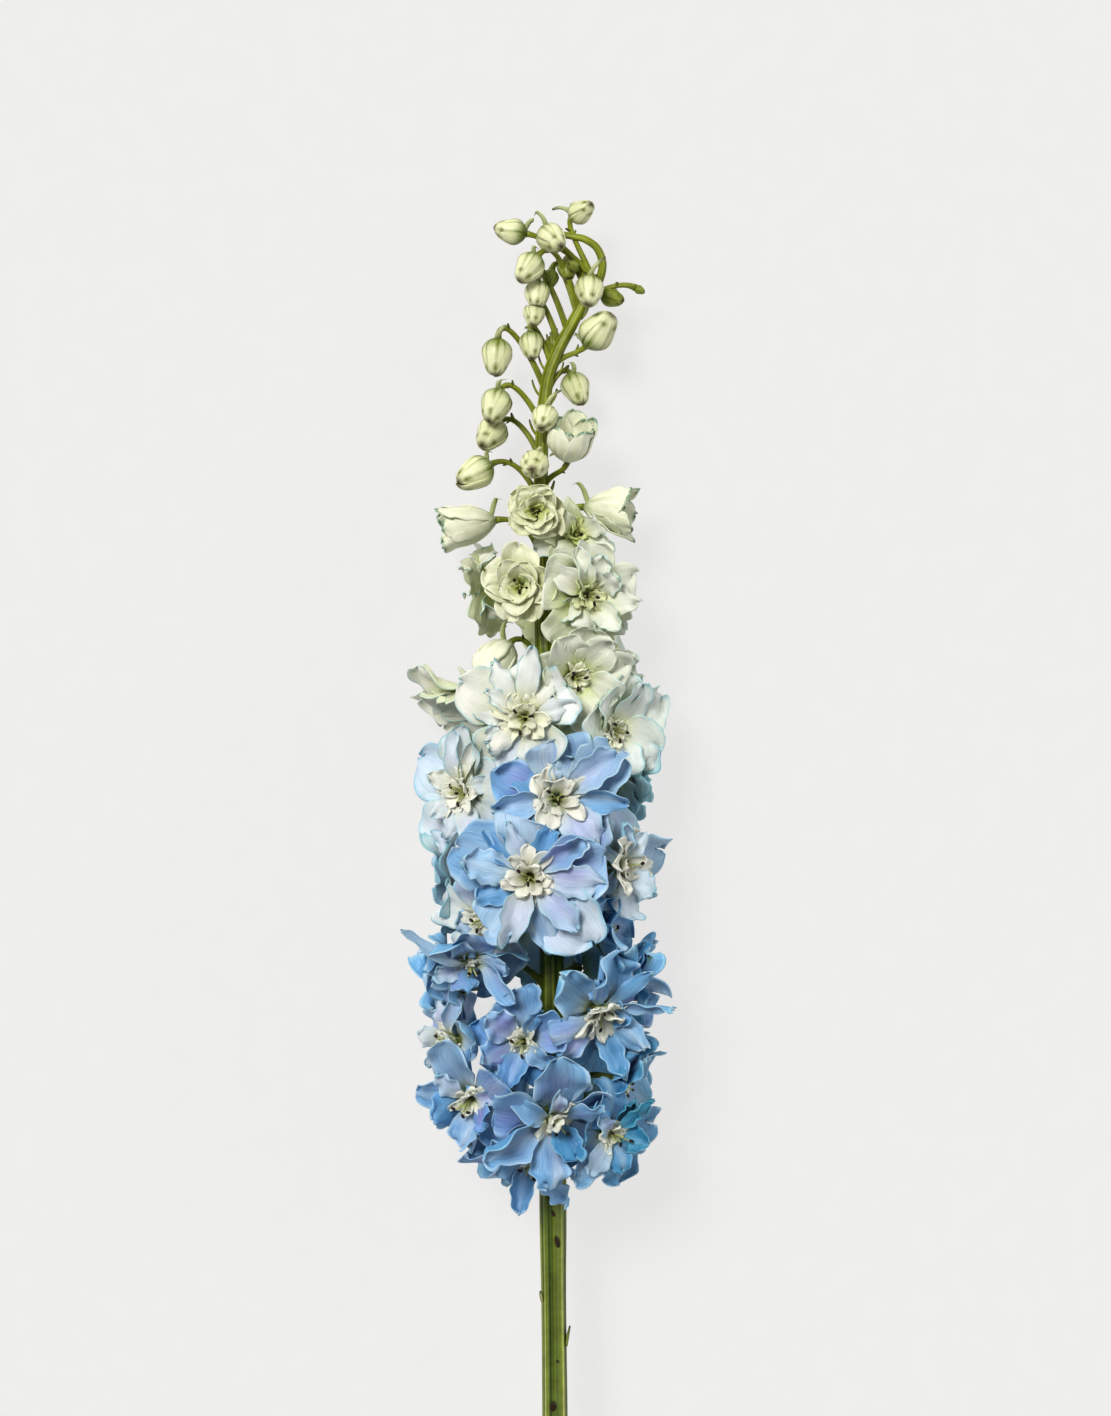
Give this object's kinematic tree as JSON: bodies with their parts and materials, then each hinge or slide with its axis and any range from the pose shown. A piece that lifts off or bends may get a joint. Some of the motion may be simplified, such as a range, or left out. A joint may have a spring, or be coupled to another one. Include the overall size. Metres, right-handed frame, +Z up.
{
  "type": "delphinium flower spike",
  "caption": "Cut delphinium flower spike lying down: a green stem with blue, white and cream double florets and green buds at a curling tip.",
  "frame": {"origin": "on the surface that the spike lies on, below the middle of its box", "axes": "+Y along the spike from the cut end to the tip, +X to the right as seen from above, +Z up from the surface"},
  "size_m": [0.1007, 0.4826, 0.0844],
  "materials": {
    "stem_green": "smooth, faintly ridged green plant skin",
    "bud_cream": "soft, silky, cream to pale green",
    "floret_cream": "thin silky petals, cream with green veins",
    "floret_white": "thin silky petals, white touched with blue",
    "floret_blue": "thin silky petals, sky blue to lilac",
    "bee_ivory": "small crinkled ivory petals"
  },
  "bodies": {
    "root": {"stem": "stem_green", "bud_01": "bud_cream", "bud_02": "bud_cream", "bud_03": "bud_cream", "bud_04": "bud_cream", "bud_05": "bud_cream", "bud_06": "bud_cream", "bud_07": "bud_cream", "bud_08": "bud_cream", "bud_09": "bud_cream", "bud_10": "bud_cream", "bud_11": "bud_cream", "bud_12": "bud_cream", "bud_13": "bud_cream", "bud_14": "bud_cream", "bud_15": "bud_cream", "bud_16": "bud_cream", "bud_17": "bud_cream", "bud_18": "bud_cream", "bud_19": "bud_cream", "floret_01": "floret_blue", "floret_02": "floret_blue", "floret_03": "floret_blue", "floret_04": "floret_blue", "floret_05": "floret_blue", "floret_06": "floret_blue", "floret_07": "floret_blue", "floret_08": "floret_blue", "floret_09": "floret_blue", "floret_10": "floret_blue", "floret_11": "floret_blue", "floret_12": "floret_blue", "floret_13": "floret_blue", "floret_14": "floret_blue", "floret_15": "floret_blue", "floret_16": "floret_blue", "floret_17": "floret_blue", "floret_18": "floret_blue", "floret_19": "floret_blue", "floret_20": "floret_white", "floret_21": "floret_white", "floret_22": "floret_white", "floret_23": "floret_white", "floret_24": "floret_cream", "floret_25": "floret_cream", "floret_26": "floret_cream", "floret_27": "floret_cream", "floret_28": "floret_cream", "floret_29": "floret_cream", "floret_30": "floret_blue", "floret_31": "floret_blue", "floret_32": "floret_blue", "floret_33": "floret_blue", "floret_34": "floret_blue", "floret_35": "floret_blue", "floret_36": "floret_white", "floret_37": "floret_cream", "floret_15_bee": "bee_ivory", "floret_17_bee": "bee_ivory", "floret_21_bee": "bee_ivory"}
  },
  "joints": []
}
